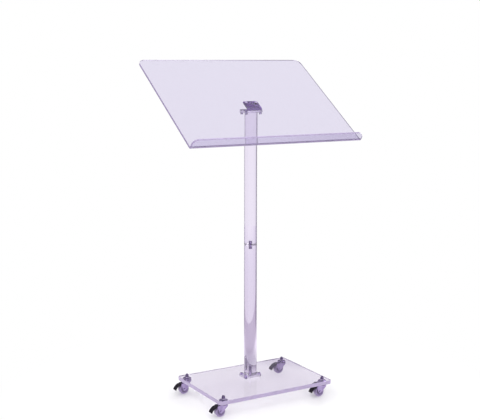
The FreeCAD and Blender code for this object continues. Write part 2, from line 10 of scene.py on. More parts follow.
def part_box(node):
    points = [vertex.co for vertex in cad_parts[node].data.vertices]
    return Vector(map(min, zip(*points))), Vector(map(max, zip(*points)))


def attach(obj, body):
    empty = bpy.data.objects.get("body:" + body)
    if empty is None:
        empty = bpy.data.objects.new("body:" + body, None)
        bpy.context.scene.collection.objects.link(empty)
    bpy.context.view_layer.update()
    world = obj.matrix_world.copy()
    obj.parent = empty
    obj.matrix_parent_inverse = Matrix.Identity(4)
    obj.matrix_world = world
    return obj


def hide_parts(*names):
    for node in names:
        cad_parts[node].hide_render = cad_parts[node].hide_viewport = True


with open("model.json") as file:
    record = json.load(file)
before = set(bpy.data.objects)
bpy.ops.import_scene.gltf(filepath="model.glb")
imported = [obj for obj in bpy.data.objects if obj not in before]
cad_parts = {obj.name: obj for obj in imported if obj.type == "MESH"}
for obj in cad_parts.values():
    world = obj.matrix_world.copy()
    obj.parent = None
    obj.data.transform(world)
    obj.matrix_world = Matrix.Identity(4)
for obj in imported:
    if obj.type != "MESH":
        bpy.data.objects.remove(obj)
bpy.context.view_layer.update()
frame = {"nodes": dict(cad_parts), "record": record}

NODES = frame["nodes"]
CASTERS = ("near_left", "far_left", "near_right", "far_right")
SLOT = {part["node"]: part["material_slot"] for part in frame["record"]["subparts"]}
BODY = {node: body for body, nodes in frame["record"]["behaviour"]["bodies"].items()
        for node in nodes}
MM = 0.001
GAP = 0.08 * MM          # air between clear pieces that are only laid together

# Sizes that the frame's boxes don't give.
PANEL_THICK, PLATE_THICK, FLANGE_THICK, BRACKET_THICK = 8 * MM, 15 * MM, 8 * MM, 3.5 * MM
PANEL_TILT = math.radians(35)
SCREW_RADIUS, STEM_RADIUS, BOLT_RADIUS = 3 * MM, 4 * MM, 5 * MM
STEM_HEAD = 7 * MM
RIM_RADIUS = 14 * MM     # where tyre and hub meet
HUB_BOSS, HUB_FACE, HUB_DISH, HUB_RIM = 4.6 * MM, 8 * MM, 2.5 * MM, 2.2 * MM
SCREW_PITCH, STEM_PITCH, BOLT_PITCH = 1 * MM, 1.25 * MM, 1.5 * MM
FLOOR_RADIUS = 4.0
ACRYLIC_IOR = 1.49

# ------------------------------------------------------------------ view and light

VIEW_POINT = Vector((0.0, 0.081, 0.720))
VIEW_DISTANCE = 3.85
VIEW_TURN = math.radians(30.3)
VIEW_DOWN = math.radians(8.6)
LENS = 73.3
STUDIO_RIGHT = (math.cos(VIEW_TURN), -math.sin(VIEW_TURN), 0)
BACKDROP_TURN = math.radians(42)
GLOW = 1.25
WHITE = (1, 1, 1)
LEFT_SHADE, RIGHT_SHADE = (0.26, 0.24, 0.30), (0.42, 0.40, 0.46)
BAND_SHADE = (0.22, 0.20, 0.26)


def make_camera():
    """A long lens at the photo's viewing angle, a little above the plate and to its left."""
    ahead = Vector((math.sin(VIEW_TURN) * math.cos(VIEW_DOWN),
                    math.cos(VIEW_TURN) * math.cos(VIEW_DOWN), -math.sin(VIEW_DOWN)))
    data = bpy.data.cameras.new("camera")
    data.lens = LENS
    data.sensor_width = 36.0
    camera = bpy.data.objects.new("camera", data)
    camera.location = VIEW_POINT - ahead * VIEW_DISTANCE
    camera.rotation_euler = ahead.to_track_quat("-Z", "Y").to_euler()
    bpy.context.scene.collection.objects.link(camera)
    bpy.context.scene.camera = camera


def area_light(name, place, aim, size, power):
    """A soft rectangular lamp that looks from a place at an aim."""
    data = bpy.data.lights.new(name, "AREA")
    data.shape = "RECTANGLE"
    data.size, data.size_y = size
    data.energy = power
    lamp = bpy.data.objects.new(name, data)
    lamp.location = place
    lamp.rotation_euler = (Vector(aim) - Vector(place)).to_track_quat("-Z", "Y").to_euler()
    bpy.context.scene.collection.objects.link(lamp)


def ramp(tree, value, stops):
    """A colour ramp on a value, its stops as (place, colour) pairs."""
    node = tree.nodes.new("ShaderNodeValToRGB")
    stop_list = node.color_ramp.elements
    for i, (place, colour) in enumerate(stops):
        stop = stop_list[i] if i < 2 else stop_list.new(place)
        stop.position = place
        stop.color = (*colour, 1)
    tree.links.new(value, node.inputs["Fac"])
    return node.outputs["Color"]


def along(tree, vector, direction):
    """How far a vector reaches along a fixed direction."""
    node = tree.nodes.new("ShaderNodeVectorMath")
    node.operation = "DOT_PRODUCT"
    node.inputs[1].default_value = direction
    tree.links.new(vector, node.inputs[0])
    return node.outputs["Value"]


def multiplied(tree, first, second):
    """The product of two colours."""
    node = tree.nodes.new("ShaderNodeMix")
    node.data_type = "RGBA"
    node.blend_type = "MULTIPLY"
    node.inputs["Factor"].default_value = 1.0
    tree.links.new(first, node.inputs["A"])
    tree.links.new(second, node.inputs["B"])
    return node.outputs["Result"]


def side_shade(tree, vector):
    """White ahead and behind, darker toward the studio's two sides, most at the left."""
    unit = tree.nodes.new("ShaderNodeVectorMath")
    unit.operation = "NORMALIZE"
    tree.links.new(vector, unit.inputs[0])
    side = spread(tree, along(tree, unit.outputs["Vector"], STUDIO_RIGHT), -1, 1, 0, 1)
    return ramp(tree, side, ((0.13, LEFT_SHADE), (0.20, WHITE),
                             (0.86, WHITE), (0.93, RIGHT_SHADE)))


def make_world():
    """White for the camera. Other rays meet a studio with darker sides, and reflections also a
    dark band above the horizon."""
    world = bpy.data.worlds.new("studio")
    bpy.context.scene.world = world
    world.use_nodes = True
    tree = world.node_tree
    tree.nodes.clear()
    link = tree.links.new
    path = tree.nodes.new("ShaderNodeLightPath")
    place = tree.nodes.new("ShaderNodeTexCoord").outputs["Generated"]
    height = along(tree, place, (0, 0, 1))
    sky = ramp(tree, height, ((0.05, (0.88, 0.88, 0.90)), (0.20, WHITE)))
    band = ramp(tree, height, ((0.04, WHITE), (0.14, BAND_SHADE),
                               (0.48, BAND_SHADE), (0.70, WHITE)))
    reflected = mixed(tree, path.outputs["Is Glossy Ray"], WHITE, band)
    shade = multiplied(tree, sky, side_shade(tree, place))
    lit = tree.nodes.new("ShaderNodeBackground")
    lit.inputs["Strength"].default_value = 1.12
    link(mixed(tree, path.outputs["Is Diffuse Ray"], multiplied(tree, shade, reflected), WHITE),
         lit.inputs["Color"])
    seen = tree.nodes.new("ShaderNodeBackground")
    seen.inputs["Color"].default_value = (*WHITE, 1)
    mix = tree.nodes.new("ShaderNodeMixShader")
    link(path.outputs["Is Camera Ray"], mix.inputs["Fac"])
    link(lit.outputs[0], mix.inputs[1])
    link(seen.outputs[0], mix.inputs[2])
    out = tree.nodes.new("ShaderNodeOutputWorld")
    link(mix.outputs[0], out.inputs["Surface"])


# ------------------------------------------------------------------ materials

def material(name):
    """A fresh node material: returns it, its tree and its Principled node."""
    made = bpy.data.materials.new(name)
    made.use_nodes = True
    tree = made.node_tree
    return made, tree, tree.nodes["Principled BSDF"]


def coordinates(tree, scale=(1, 1, 1)):
    """Object coordinates, in metres, stretched by scale."""
    place = tree.nodes.new("ShaderNodeTexCoord")
    stretch = tree.nodes.new("ShaderNodeMapping")
    stretch.inputs["Scale"].default_value = scale
    tree.links.new(place.outputs["Object"], stretch.inputs["Vector"])
    return stretch.outputs["Vector"]


def noise(tree, vector, scale, detail=4.0, roughness=0.5):
    """Cloudy noise between 0 and 1."""
    node = tree.nodes.new("ShaderNodeTexNoise")
    node.inputs["Scale"].default_value = scale
    node.inputs["Detail"].default_value = detail
    node.inputs["Roughness"].default_value = roughness
    tree.links.new(vector, node.inputs["Vector"])
    return node.outputs["Fac"]


def spread(tree, value, low, high, to_low, to_high):
    """Maps a value's range low..high to to_low..to_high, held inside it."""
    node = tree.nodes.new("ShaderNodeMapRange")
    for name, number in zip(("From Min", "From Max", "To Min", "To Max"),
                            (low, high, to_low, to_high)):
        node.inputs[name].default_value = number
    tree.links.new(value, node.inputs["Value"])
    return node.outputs["Result"]


def mixed(tree, factor, first, second):
    """A mix of two colours, each given as a colour or as a node's output."""
    node = tree.nodes.new("ShaderNodeMix")
    node.data_type = "RGBA"
    tree.links.new(factor, node.inputs["Factor"])
    for name, colour in (("A", first), ("B", second)):
        if isinstance(colour, tuple):
            node.inputs[name].default_value = (*colour, 1)
        else:
            tree.links.new(colour, node.inputs[name])
    return node.outputs["Result"]


def bump(tree, height, strength, distance, shader):
    """Leads a height through a bump to a shader's normal."""
    node = tree.nodes.new("ShaderNodeBump")
    node.inputs["Strength"].default_value = strength
    node.inputs["Distance"].default_value = distance
    tree.links.new(height, node.inputs["Height"])
    tree.links.new(node.outputs["Normal"], shader.inputs["Normal"])


def acrylic(name, tint, length, passes, foot=()):
    """Clear acrylic. tint: what two faces let through; passes: what is left after that length;
    foot: tints by height over the floor, in place of the one tint; used as painted shade, a darker
    band low in the rod."""
    made, tree, shader = material(name)
    shader.inputs["Base Color"].default_value = (*tint, 1)
    shader.inputs["IOR"].default_value = ACRYLIC_IOR
    shader.inputs["Transmission Weight"].default_value = 1.0
    # Painted shade: the tint goes darker over a band of heights near the floor.
    if foot:
        height = along(tree, coordinates(tree), (0, 0, 1))
        tree.links.new(ramp(tree, height, foot), shader.inputs["Base Color"])
    haze = noise(tree, coordinates(tree), 9.0, detail=6.0)
    tree.links.new(spread(tree, haze, 0.45, 0.75, 0.0, 0.03), shader.inputs["Roughness"])
    loss = [-math.log(share) / length for share in passes]
    density = max(loss) * 1.05
    absorb = tree.nodes.new("ShaderNodeVolumeAbsorption")
    absorb.inputs["Density"].default_value = density
    absorb.inputs["Color"].default_value = (*[1 - x / density for x in loss], 1)
    # Lamps reach what is behind the sheet, tinted a little.
    path = tree.nodes.new("ShaderNodeLightPath")
    clear = tree.nodes.new("ShaderNodeBsdfTransparent")
    clear.inputs["Color"].default_value = (0.985, 0.983, 0.987, 1)
    mix = tree.nodes.new("ShaderNodeMixShader")
    out = tree.nodes["Material Output"]
    tree.links.new(path.outputs["Is Shadow Ray"], mix.inputs["Fac"])
    tree.links.new(shader.outputs[0], mix.inputs[1])
    tree.links.new(clear.outputs[0], mix.inputs[2])
    tree.links.new(mix.outputs[0], out.inputs["Surface"])
    tree.links.new(absorb.outputs[0], out.inputs["Volume"])
    return made


def acrylic_rim(name, colour, clear=0.35, inside=0.92, roughness=0.16):
    """A polished cut edge of tinted acrylic: its colour gathers there, seen from outside, and from
    inside the sheet it is nearly clear."""
    made, tree, shader = material(name)
    place = coordinates(tree, (1, 1, 6))
    streaks = noise(tree, place, 70.0, detail=5.0)
    deep = tuple(share * 0.72 for share in colour)
    tree.links.new(mixed(tree, spread(tree, streaks, 0.35, 0.7, 0, 1), colour, deep),
                   shader.inputs["Base Color"])
    tree.links.new(spread(tree, streaks, 0.3, 0.7, roughness * 0.8, roughness * 1.3),
                   shader.inputs["Roughness"])
    shader.inputs["IOR"].default_value = ACRYLIC_IOR
    side = tree.nodes.new("ShaderNodeNewGeometry")
    tree.links.new(spread(tree, side.outputs["Backfacing"], 0, 1, clear, inside),
                   shader.inputs["Transmission Weight"])
    # Light led through the sheet comes out at its edge.
    shader.inputs["Emission Color"].default_value = (*colour, 1)
    shader.inputs["Emission Strength"].default_value = 0.08
    return made


def metal(name, colour, worn, roughness=0.3, grain=(1, 1, 40)):
    """Bright or coated metal: a fine grain, cloudy patches and small scratches."""
    made, tree, shader = material(name)
    shader.inputs["Metallic"].default_value = 1.0
    place = coordinates(tree)
    patches = noise(tree, place, 60.0, detail=5.0)
    tree.links.new(mixed(tree, spread(tree, patches, 0.35, 0.7, 0, 1), colour, worn),
                   shader.inputs["Base Color"])
    grains = noise(tree, coordinates(tree, grain), 900.0, detail=2.0)
    tree.links.new(spread(tree, grains, 0.3, 0.7, roughness * 0.75, roughness * 1.3),
                   shader.inputs["Roughness"])
    bump(tree, grains, 0.12, 0.00005, shader)
    return made


def plastic(name, colour, worn, roughness=0.35, grain=0.00004, shine=0.5):
    """Moulded plastic: faint texture and handling wear."""
    made, tree, shader = material(name)
    shader.inputs["Specular IOR Level"].default_value = shine
    place = coordinates(tree)
    wear = noise(tree, place, 120.0, detail=6.0, roughness=0.6)
    tree.links.new(mixed(tree, spread(tree, wear, 0.45, 0.75, 0, 1), colour, worn),
                   shader.inputs["Base Color"])
    tree.links.new(spread(tree, wear, 0.3, 0.7, roughness * 0.8, roughness * 1.25),
                   shader.inputs["Roughness"])
    bump(tree, noise(tree, place, 2500.0, detail=2.0), 0.25, grain, shader)
    return made


# ------------------------------------------------------------------ mesh helpers

def new_object(name, mesh, body, look):
    """A visible piece that rides on a body and has a material."""
    piece = bpy.data.objects.new(name, mesh)
    bpy.context.scene.collection.objects.link(piece)
    mesh.materials.clear()
    mesh.materials.append(look)
    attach(piece, body)
    return piece


def to_mesh(work, name, sharp=32):
    """Turns a bmesh into a mesh that is smooth but for edges sharper than the angle."""
    bmesh.ops.recalc_face_normals(work, faces=work.faces)
    mesh = bpy.data.meshes.new(name)
    work.to_mesh(mesh)
    work.free()
    for face in mesh.polygons:
        face.use_smooth = True
    mesh.set_sharp_from_angle(angle=math.radians(sharp))
    return mesh


def width(face):
    """About how wide a long face is."""
    return 2 * face.calc_area() / face.calc_perimeter()


def cut_faces(work, thick, bends=False):
    """The faces round a sheet's rim and in its holes, where the material inward is deeper than the
    sheet is thick, and those of its bends if asked for."""
    broad_area, rim_depth, bend_width = 200 * thick * thick, 1.3 * thick, 0.6 * thick
    under_skin, parallel = 0.02 * MM, 0.999
    work.normal_update()
    work.faces.ensure_lookup_table()
    tree = BVHTree.FromBMesh(work)
    broad = [face.normal for face in work.faces if face.calc_area() > broad_area]
    largest = {}
    for loops in work.calc_loop_triangles():
        a, b, c = [loop.vert.co for loop in loops]
        size, face = (b - a).cross(c - a).length, loops[0].face
        if size > largest.get(face.index, (0, None))[0]:
            largest[face.index] = size, (a + b + c) / 3
    cut = set()
    for index, (_, middle) in largest.items():
        face = work.faces[index]
        hit = tree.ray_cast(middle - face.normal * under_skin, -face.normal, rim_depth)
        bent = width(face) < bend_width and all(
            abs(face.normal.dot(normal)) < parallel for normal in broad)
        if hit[0] is None or bends and bent:
            cut.add(index)
    return cut


def refined(node, name, look, bevel=0.4 * MM, segments=2, lift=0.0, rim=None, thick=0.0,
            bends=False):
    """A cleaned copy of a CAD node with softened edges, shown in its place. rim: the look of the
    cut faces of a sheet that is thick; bends: whether its bends have that look too."""
    weld, coplanar, corner, facet = 0.001 * MM, math.radians(0.5), math.radians(35), 5 * MM
    work = bmesh.new()
    work.from_mesh(NODES[node].data)
    bmesh.ops.remove_doubles(work, verts=work.verts, dist=weld)
    bmesh.ops.dissolve_limit(work, angle_limit=coplanar, verts=work.verts,
                             edges=work.edges)
    bmesh.ops.translate(work, verts=work.verts, vec=(0, 0, lift))
    work.faces.index_update()
    cut = cut_faces(work, thick, bends) if rim else ()
    mesh = bpy.data.meshes.new(name)
    # Narrow facets belong to bends and round edges, and the rest are flat faces.
    narrow = [width(face) < facet for face in work.faces]
    work.to_mesh(mesh)
    work.free()
    for face, curved in zip(mesh.polygons, narrow):
        face.use_smooth = curved
    piece = new_object(name, mesh, BODY[node], look)
    if rim:
        mesh.materials.append(rim)
        for face in mesh.polygons:
            face.material_index = int(face.index in cut)
    rounding = piece.modifiers.new("rounding", "BEVEL")
    rounding.width = bevel
    rounding.segments = segments
    rounding.limit_method = "ANGLE"
    rounding.angle_limit = corner
    rounding.material = 1 if rim else -1
    # Large flat faces keep their own direction, and only the small roundings blend.
    flat = piece.modifiers.new("flat_faces", "WEIGHTED_NORMAL")
    flat.weight = 100
    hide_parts(node)


def circle(radius, z, count=48):
    """A ring of points round the Z axis."""
    turns = [2 * math.pi * i / count for i in range(count)]
    return [(radius * math.cos(turn), radius * math.sin(turn), z) for turn in turns]


def hexagon(flats, z, limit=None, count=48):
    """A hexagon across the flats, its corners cut back to a limiting radius."""
    points = []
    for i in range(count):
        turn = 2 * math.pi * i / count
        radius = flats / 2 / math.cos(turn % (math.pi / 3) - math.pi / 6)
        radius = min(radius, limit or radius)
        points.append((radius * math.cos(turn), radius * math.sin(turn), z))
    return points


def knurled(radius, z, depth=0.22 * MM, count=48):
    """A circle with a fine saw edge, as on the side of a socket head."""
    points = []
    for i in range(count):
        turn, size = 2 * math.pi * i / count, radius - depth * (i % 2)
        points.append((size * math.cos(turn), size * math.sin(turn), z))
    return points


def thread(radius, low, high, pitch, count=48):
    """Rings of a screw thread between two heights."""
    rings, steps = [], 6
    depth = 0.55 * pitch
    rows = max(2, round((high - low) / pitch * steps))
    for row in range(rows + 1):
        z = low + (high - low) * row / rows
        ring = []
        for i in range(count):
            phase = (z / pitch - i / count) % 1.0
            size = radius - depth * abs(2 * phase - 1)
            turn = 2 * math.pi * i / count
            ring.append((size * math.cos(turn), size * math.sin(turn), z))
        rings.append(ring)
    return rings


def point(z):
    """A ring shrunk to one point, which closes an end."""
    return [(0, 0, z)]


def loft(work, rings, place=None):
    """Skins a run of rings, each a list of points or a single one at an end."""
    place = place or Matrix()
    rows = [[work.verts.new(place @ Vector(p)) for p in ring] for ring in rings]
    for low, high in zip(rows, rows[1:]):
        count = max(len(low), len(high))
        for i in range(count):
            j = (i + 1) % count
            corners = [low[i % len(low)], low[j % len(low)],
                       high[j % len(high)], high[i % len(high)]]
            unique = list(dict.fromkeys(corners))
            if len(unique) > 2:
                work.faces.new(unique)
    return rows


def turned_piece(node, name, look, places, rings, sharp=32):
    """Equal pieces built from rings at each place, shown instead of a CAD node."""
    work = bmesh.new()
    for place in places:
        loft(work, rings, place)
    piece = new_object(name, to_mesh(work, name, sharp), BODY[node], look)
    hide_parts(node)
    return piece


def at(x, y, z, flip=False):
    """A place for a piece, upside down if flipped."""
    place = Matrix.Translation((x, y, z))
    return place @ Matrix.Rotation(math.pi, 4, "X") if flip else place


def sideways(centre):
    """A place for a piece turned about the Y axis, as a wheel is."""
    return Matrix.Translation(centre) @ Matrix.Rotation(-math.pi / 2, 4, "X")


# ------------------------------------------------------------------ clear pieces

def make_rods(look, end_look):
    """Two lengths of polished rod with the stud's and the bolt's holes, an air gap at each end."""
    edge, around = 0.8 * MM, 128
    stud_low, stud_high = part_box("joint_stud")
    bore = stud_high.x + GAP
    bolt_bore, bolt_top = BOLT_RADIUS + GAP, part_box("foot_bolt")[1].z + GAP

    def ends(radius, z, outward):
        return [circle(radius - edge * k, z - outward * edge * (1 - k), around)
                for k in (0, 0.3, 1)]

    for node in ("lower_post", "upper_post"):
        low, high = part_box(node)
        radius, bottom, top = high.x, low.z + 2 * GAP, high.z - GAP
        if node == "lower_post":
            hole = (bolt_bore, bolt_top)
            last = [circle(bore, top, around), circle(bore, stud_low.z - GAP, around),
                    point(stud_low.z - GAP)]
        else:
            hole = (bore, stud_high.z + GAP)
            last = [point(top)]
        rings = [point(hole[1]), circle(hole[0], hole[1], around), circle(hole[0], bottom, around)]
        rings += reversed(ends(radius, bottom, -1))
        rings += ends(radius, top, 1) + last
        rod = turned_piece(node, node + "_rod", look, [Matrix()], rings)
        rod.data.materials.append(end_look)
        for face in rod.data.polygons:
            face.material_index = int(abs(face.normal.z) > 0.9)


# ------------------------------------------------------------------ screws, nuts and washers

def cap_screw(length, grip):
    """A knurled socket head on height 0 and a threaded shank below it."""
    radius, head, tall, socket = SCREW_RADIUS, 5 * MM, 6 * MM, 5 * MM
    rings = [point(-length), circle(radius - 0.9 * MM, -length)]
    rings += thread(radius, -length + 0.6 * MM, -grip, SCREW_PITCH)
    rings += [circle(radius, -grip + 0.3 * MM), circle(radius, 0), circle(head - 0.3 * MM, 0),
              knurled(head, 0.4 * MM), knurled(head, tall - 1.2 * MM),
              circle(head, tall - 0.9 * MM), circle(head - 0.25 * MM, tall - 0.3 * MM),
              circle(head - 0.7 * MM, tall), hexagon(socket + 0.5 * MM, tall),
              hexagon(socket, tall - 0.3 * MM), hexagon(socket, tall / 2), point(tall / 2)]
    return rings


def threaded_end(radius, low, high, pitch):
    """A thread from a height up to a flat end with a cone of one thread."""
    rings = thread(radius, low, high - 1 * MM, pitch)
    return rings + [circle(radius - 1.2 * MM, high), point(high)]


def bolt_places(z, flip=False):
    """The four corners of the flanges' bolt pattern."""
    head = 5 * MM
    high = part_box("foot_screws")[1]
    return [at(i * (high.x - head), j * (high.y - head), z, flip) for i in (-1, 1) for j in (-1, 1)]


def make_screws(look, bolt_look):
    """The cap screws of both flanges, the joint's stud and the foot's bolt."""
    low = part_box("foot_screws")[0]
    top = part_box("foot_flange")[1].z + GAP
    turned_piece("foot_screws", "foot_cap_screws", look, bolt_places(top),
                 cap_screw(top - low.z, 9 * MM))
    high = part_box("head_screws")[1]
    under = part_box("head_washers")[0].z
    turned_piece("head_screws", "head_cap_screws", look, bolt_places(under, True),
                 cap_screw(high.z - under, 4 * MM))

    # The stud is threaded from end to end.
    low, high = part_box("joint_stud")
    radius = high.x
    rings = [point(low.z), circle(radius - 1.2 * MM, low.z)]
    rings += threaded_end(radius, low.z + 1 * MM, high.z, BOLT_PITCH)
    turned_piece("joint_stud", "joint_thread", look, [Matrix()], rings)

    # The bolt's head is sunk in the plate's underside.
    low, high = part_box("foot_bolt")
    head, tall, flats = high.x, 9 * MM, 8 * MM
    socket, seat = low.z + tall / 2, low.z + tall - 0.1 * MM
    rings = [point(socket), hexagon(flats, socket),
             hexagon(flats, low.z + 0.3 * MM), hexagon(flats + 0.5 * MM, low.z),
             circle(head - 0.8 * MM, low.z), circle(head - 0.2 * MM, low.z + 0.3 * MM),
             knurled(head, low.z + 1 * MM), knurled(head, low.z + tall - 0.5 * MM),
             circle(head - 0.3 * MM, seat), circle(BOLT_RADIUS, seat)]
    rings += threaded_end(BOLT_RADIUS, low.z + tall + 2 * MM, high.z, BOLT_PITCH)
    turned_piece("foot_bolt", "foot_centre_bolt", bolt_look, [Matrix()], rings)


def on_panel():
    """The frame of the panel's underside: its origin on the rod's axis, Z out of the sheet."""
    surface = frame["record"]["mounts"][0]
    spot = Vector(surface["pos_m"]) - Vector(surface["axis"]) * PANEL_THICK
    slope = Vector((0, math.cos(PANEL_TILT), math.sin(PANEL_TILT)))
    origin = spot - slope * (spot.y / slope.y)
    return Matrix.Translation(origin) @ Matrix.Rotation(PANEL_TILT, 4, "X")


def make_panel_fasteners(look):
    """Flat-head screws flush in the panel, and their nuts under the bracket's wing."""
    across, up = 22 * MM, 3 * MM
    washer, nut, nut_flats, spare = 1.2 * MM, 5 * MM, 10 * MM, 2 * MM
    radius, head, top, socket = SCREW_RADIUS, 5.9 * MM, PANEL_THICK - 0.1 * MM, 4 * MM
    seat = on_panel()
    places = [seat @ at(i * across, up, 0) for i in (-1, 1)]
    nut_low = -(BRACKET_THICK + washer + nut)
    tip = nut_low - spare
    rings = [point(tip), circle(radius - 0.9 * MM, tip)]
    rings += thread(radius, tip + 0.6 * MM, 0, SCREW_PITCH)
    rings += [circle(radius, 0.5 * MM), circle(radius, top - head + radius),
              circle(head - 0.15 * MM, top - 0.15 * MM), circle(head - 0.3 * MM, top),
              hexagon(socket + 0.4 * MM, top), hexagon(socket, top - 0.25 * MM),
              hexagon(socket, top - 1.8 * MM), point(top - 1.8 * MM)]
    turned_piece("panel_screws", "panel_flat_screws", look, places, rings)
    turned_piece("panel_nuts", "panel_hex_nuts", look, places,
                 hex_nut(nut_flats, nut_low, nut, radius))


def hex_nut(flats, low, tall, bore):
    """A chamfered hexagon nut round a bore."""
    half, top = flats / 2, low + tall
    face, corner = half * 0.96, half * 1.05
    return [circle(bore, low), circle(face, low), hexagon(flats, low + 0.3 * MM, corner),
            hexagon(flats, low + 0.8 * MM), hexagon(flats, top - 0.8 * MM),
            hexagon(flats, top - 0.3 * MM, corner), circle(face, top),
            circle(bore + 0.3 * MM, top), circle(bore, top - 0.3 * MM), circle(bore, low)]


def stem_places(z=0.0):
    """The four stems' axes, at a height."""
    low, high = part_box("caster_stems")
    head = STEM_HEAD
    return [at(x, y, z) for x in (low.x + head, high.x - head)
            for y in (low.y + head, high.y - head)]


def domed_nut(tall):
    """A cap nut: a chamfered hexagon with a blind hole below and a round dome on top."""
    flats, half, dome, deep, hex_top = 13 * MM, 6.5 * MM, 5.46 * MM, 8.4 * MM, 6 * MM
    centre, corner = tall - dome, half * 1.05
    rings = [point(deep), circle(STEM_RADIUS, deep), circle(STEM_RADIUS, 0), circle(half * 0.95, 0),
             hexagon(flats, 0.35 * MM, corner), hexagon(flats, 1.0 * MM),
             hexagon(flats, hex_top - 1.0 * MM), hexagon(flats, hex_top - 0.35 * MM, corner),
             circle(half * 0.97, hex_top), circle(half * 0.90, hex_top + 0.15 * MM),
             circle(dome, centre)]
    rings += [circle(dome * math.cos(turn), centre + dome * math.sin(turn))
              for turn in [math.radians(10 * k) for k in range(1, 9)]]
    return rings + [point(tall)]


def make_caster_mounts(look, nut_look):
    """Cap nuts, threaded stems and ball-race cups at the plate's corners."""
    low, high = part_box("cap_nuts")
    turned_piece("cap_nuts", "domed_nuts", nut_look, stem_places(low.z),
                 domed_nut(high.z - low.z), 28)

    low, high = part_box("caster_stems")
    plate_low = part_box("base_plate")[0].z
    head, head_top = STEM_HEAD, 1.8 * MM
    rings = [point(low.z), circle(head - 1.6 * MM, low.z),
             circle(head - 0.4 * MM, low.z + 0.5 * MM),
             circle(head, low.z + 1.1 * MM), circle(head, low.z + head_top),
             circle(STEM_RADIUS, low.z + head_top), circle(STEM_RADIUS, plate_low + 0.5 * MM)]
    rings += threaded_end(STEM_RADIUS, plate_low + 1.5 * MM, high.z, STEM_PITCH)
    turned_piece("caster_stems", "threaded_stems", look, stem_places(), rings)

    low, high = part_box("swivel_cups")
    outer, bore, top = 17 * MM, STEM_RADIUS, high.z - GAP
    race, race_half, race_deep = 11 * MM, 1.5 * MM, 1.0 * MM
    groove = [circle(race + race_half * math.cos(turn), low.z + race_deep * math.sin(turn))
              for turn in [math.radians(22.5 * k) for k in range(9)]]
    rings = [circle(bore, low.z)] + groove[::-1] + [
        circle(outer - 1.0 * MM, low.z), circle(outer - 0.3 * MM, low.z + 0.3 * MM),
        circle(outer, low.z + 1.0 * MM), circle(outer, top - 1.4 * MM),
        circle(outer - 0.5 * MM, top - 0.4 * MM), circle(outer - 1.4 * MM, top),
        circle(bore, top), circle(bore, low.z)]
    turned_piece("swivel_cups", "race_cups", look, stem_places(), rings)


# ------------------------------------------------------------------ casters

def mirrored(part):
    """A section's (radius, height) points in reverse and on the other side."""
    return [(r, -z) for r, z in reversed(part)]


def tyre_profile():
    """The tread's section: round shoulders and a fine groove at its middle."""
    outer, half, shoulder = 20 * MM, 9 * MM, 3 * MM
    part = [(RIM_RADIUS, -half + 0.4 * MM), (RIM_RADIUS + 0.6 * MM, -half),
            (RIM_RADIUS + 1.5 * MM, -half + 0.25 * MM)]
    for turn in [math.radians(15 * k) for k in range(7)]:
        part.append((outer - shoulder + shoulder * math.sin(turn),
                     -half + shoulder - shoulder * math.cos(turn)))
    groove = [(outer, -0.5 * MM), (outer - 0.18 * MM, 0.0), (outer, 0.5 * MM)]
    return part + groove + mirrored(part) + part[:1]


def hub_profile():
    """The hub's section: a boss, a dished web and a rim."""
    bore, tip = 2.55 * MM, 9.5 * MM
    web, rim_inner = HUB_FACE - HUB_DISH, RIM_RADIUS - HUB_RIM
    part = [(bore, tip), (HUB_BOSS - 0.4 * MM, tip), (HUB_BOSS, tip - 0.4 * MM),
            (HUB_BOSS + 0.6 * MM, web), (rim_inner - 0.6 * MM, web),
            (rim_inner, HUB_FACE - 0.4 * MM), (rim_inner + 0.4 * MM, HUB_FACE),
            (RIM_RADIUS - 0.05 * MM, HUB_FACE)]
    return part + mirrored(part) + part[:1]


def hub_ribs(place):
    """Eight moulded ribs in each of the hub's two dishes."""
    near, far, half = HUB_BOSS - 0.2 * MM, RIM_RADIUS - HUB_RIM, 0.75 * MM
    outline = [(near, -half), (far, -half * 0.8), (far, half * 0.8), (near, half)]
    work = bmesh.new()
    for side in (-1, 1):
        low = side * (HUB_FACE - HUB_DISH - 0.3 * MM)
        high = side * (HUB_FACE - 0.7 * MM)
        rings = [[(x, y, low) for x, y in outline], [(x, y * 0.8, high) for x, y in outline]]
        for k in range(8):
            rows = loft(work, rings, place @ Matrix.Rotation(math.radians(45 * k), 4, "Z"))
            work.faces.new(rows[0][::-1])
            work.faces.new(rows[1])
    return work


def make_wheels(tread, hub):
    """Tyres and ribbed hubs."""
    for name in CASTERS:
        low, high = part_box("hub_" + name)
        place = sideways((low + high) / 2)
        turned_piece("tyre_" + name, "tyre_ring_" + name, tread, [place],
                     [circle(r, z, 64) for r, z in tyre_profile()], 50)
        turned_piece("hub_" + name, "hub_wheel_" + name, hub, [place],
                     [circle(r, z) for r, z in hub_profile()], 40)
        new_object("hub_ribs_" + name, to_mesh(hub_ribs(place), "hub_ribs_" + name),
                   "wheel_" + name, hub)


def arc_through(a, b, c, share):
    """A point of the circle through three points, at a share of the way from a to c."""
    flat = [Vector((p.x, p.z)) for p in (a, b, c)]
    (ax, ay), (bx, by), (cx, cy) = flat
    d = 2 * (ax * (by - cy) + bx * (cy - ay) + cx * (ay - by))
    sq = [p.length_squared for p in flat]
    middle_x = (sq[0] * (by - cy) + sq[1] * (cy - ay) + sq[2] * (ay - by)) / d
    middle_y = (sq[0] * (cx - bx) + sq[1] * (ax - cx) + sq[2] * (bx - ax)) / d
    radius = (flat[0] - Vector((middle_x, middle_y))).length
    start = math.atan2(ay - middle_y, ax - middle_x)
    end = math.atan2(cy - middle_y, cx - middle_x)
    sweep = (end - start + math.pi) % (2 * math.pi) - math.pi
    turn = start + sweep * share
    return Vector((middle_x + radius * math.cos(turn), a.y, middle_y + radius * math.sin(turn)))


